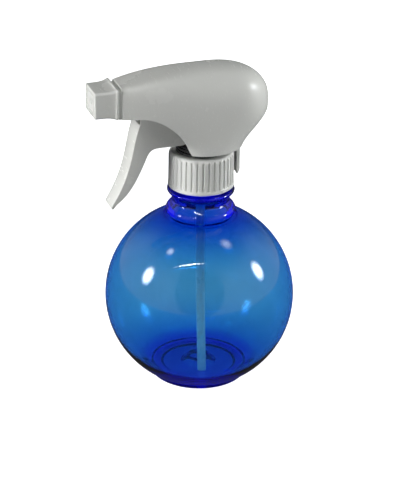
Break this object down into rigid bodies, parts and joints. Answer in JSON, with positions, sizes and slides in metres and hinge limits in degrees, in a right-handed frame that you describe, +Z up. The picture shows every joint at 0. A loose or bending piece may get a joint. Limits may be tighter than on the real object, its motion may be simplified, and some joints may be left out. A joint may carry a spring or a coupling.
{
  "type": "spray bottle",
  "caption": "Hand trigger spray bottle: clear blue spherical bottle with a short ringed neck, ribbed white screw collar, white pump head, long curved trigger and square nozzle cap.",
  "frame": {"origin": "on the bottle's axis, in the plane of the foot ring that it stands on", "axes": "+Z up along the bottle's axis; the nozzle sprays towards -X; +Y is to the left of a person holding it and facing the way it sprays, seen from behind"},
  "size_m": [0.1052, 0.096, 0.168],
  "materials": {
    "blue_pet": "clear tinted, glossy",
    "white_pp": "moulded, satin gloss",
    "milky_pe": "natural, milky",
    "dark_pp": "moulded, matt",
    "grey_rubber": "matt",
    "spring_steel": "drawn wire",
    "ball_steel": "polished"
  },
  "bodies": {
    "bottle": {"bottle": "blue_pet"},
    "neck_seal": {"gasket": "grey_rubber"},
    "collar": {"collar": "white_pp"},
    "head": {"engine_body": "white_pp", "swivel_ring": "dark_pp", "shroud": "white_pp", "tube_retainer": "milky_pe", "dip_tube": "milky_pe", "outlet_spring": "spring_steel", "outlet_plug": "white_pp", "vent_seal": "grey_rubber", "spinner_core": "milky_pe", "return_spring": "spring_steel"},
    "inlet_ball": {"inlet_ball": "ball_steel"},
    "outlet_valve": {"outlet_valve": "milky_pe"},
    "nozzle": {"nozzle_cap": "white_pp", "nozzle_insert": "white_pp", "nozzle_seal": "grey_rubber"},
    "trigger": {"trigger": "white_pp"},
    "piston": {"piston": "milky_pe", "piston_seal_outer": "grey_rubber", "piston_seal_inner": "grey_rubber"}
  },
  "joints": [
    {"name": "cap_lift", "type": "slide", "parent": "bottle", "child": "neck_seal", "axis": [0, 0, 1], "range_m": [0, 0.00634]},
    {"name": "collar_turn", "type": "hinge", "parent": "neck_seal", "child": "collar", "pos_m": [0, 0, 0.113], "axis": [0, 0, 1], "range_deg": [0, 540]},
    {"name": "head_swivel", "type": "hinge", "parent": "neck_seal", "child": "head", "pos_m": [0, 0, 0.121], "axis": [0, 0, 1], "continuous": true},
    {"name": "trigger_pull", "type": "hinge", "parent": "head", "child": "trigger", "pos_m": [-0.0305, 0, 0.15], "axis": [0, -1, 0], "range_deg": [0, 24], "stiffness_Nm_per_rad": 0.12, "springref_deg": -17.19},
    {"name": "piston_stroke", "type": "slide", "parent": "head", "child": "piston", "axis": [1, 0, 0], "range_m": [0, 0.0057], "deforming": ["return_spring"]},
    {"name": "nozzle_turn", "type": "hinge", "parent": "head", "child": "nozzle", "pos_m": [-0.05, 0, 0.1546], "axis": [-1, 0, 0], "continuous": true},
    {"name": "inlet_check", "type": "slide", "parent": "head", "child": "inlet_ball", "axis": [0, 0, 1], "range_m": [0, 0.0014]},
    {"name": "outlet_check", "type": "slide", "parent": "head", "child": "outlet_valve", "axis": [0, 0, 1], "range_m": [0, 0.0012], "stiffness_N_per_m": 60, "springref_m": -0.001, "deforming": ["outlet_spring"]}
  ],
  "couplings": [
    {"joint": "collar_turn", "follows": "cap_lift", "rad_per_m": 1485.4},
    {"joint": "piston_stroke", "follows": "trigger_pull", "m_per_rad": 0.013536}
  ]
}
